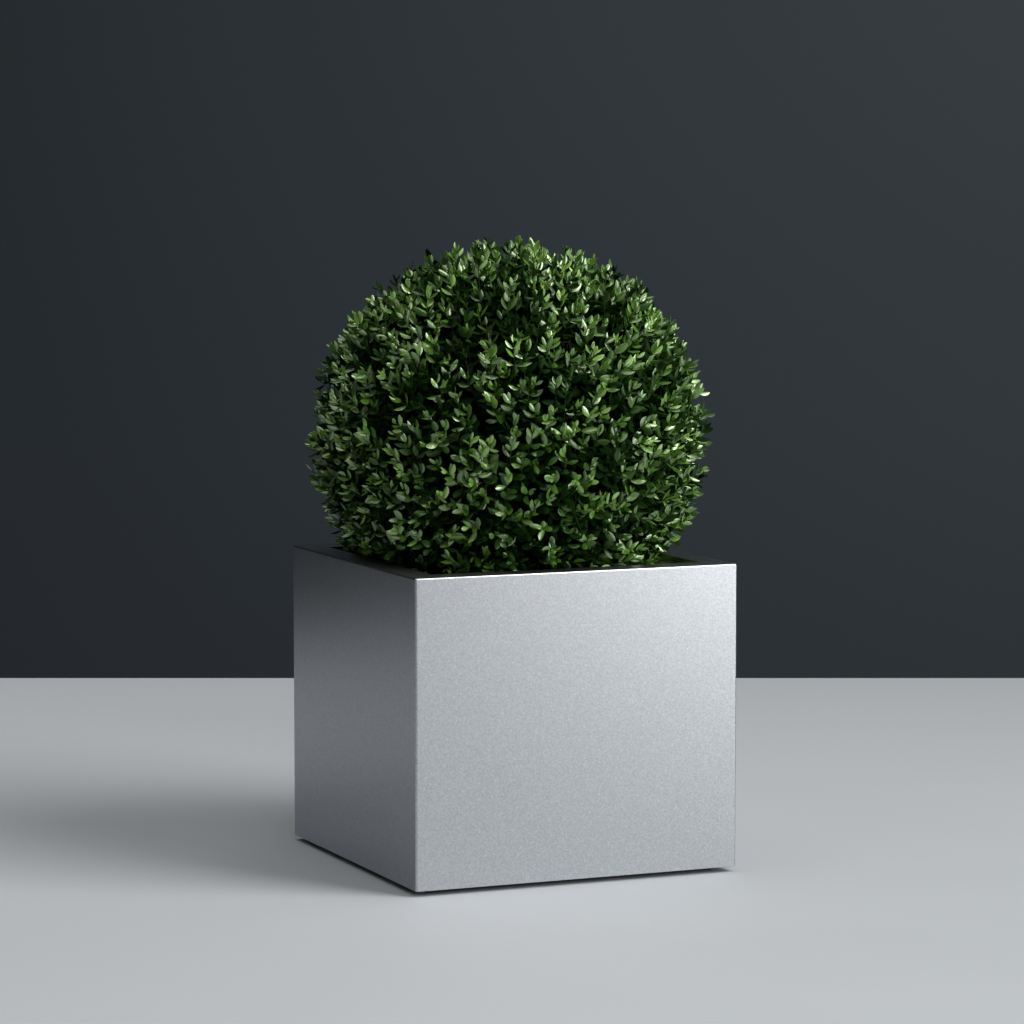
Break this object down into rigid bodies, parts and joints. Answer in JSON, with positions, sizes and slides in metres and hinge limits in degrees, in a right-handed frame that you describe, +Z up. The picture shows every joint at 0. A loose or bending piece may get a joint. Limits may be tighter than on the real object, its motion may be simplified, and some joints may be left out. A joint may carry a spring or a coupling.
{
  "type": "potted clipped box ball",
  "caption": "Evergreen shrub clipped to a leafy ball, standing in a square silver metal planter with a flat folded rim on a recessed base.",
  "frame": {"origin": "centre of the recessed base's underside, where the planter stands on the ground", "axes": "+Z up along the stem; -Y the planter's front face, -X its left face, both seen in the picture"},
  "size_m": [0.5331, 0.5349, 0.8284],
  "materials": {
    "silver_sheet": "satin silver metallic coat",
    "black_base": "matt black",
    "potting_soil": "loose and moist",
    "bark": "ridged bark",
    "leaves": "glossy leaves"
  },
  "bodies": {
    "root": {"planter": "silver_sheet", "plinth": "black_base", "soil": "potting_soil", "stem": "bark", "bough_1": "bark", "bough_2": "bark", "bough_3": "bark", "bough_4": "bark", "bough_5": "bark", "bough_6": "bark", "foliage": "leaves"}
  },
  "joints": []
}
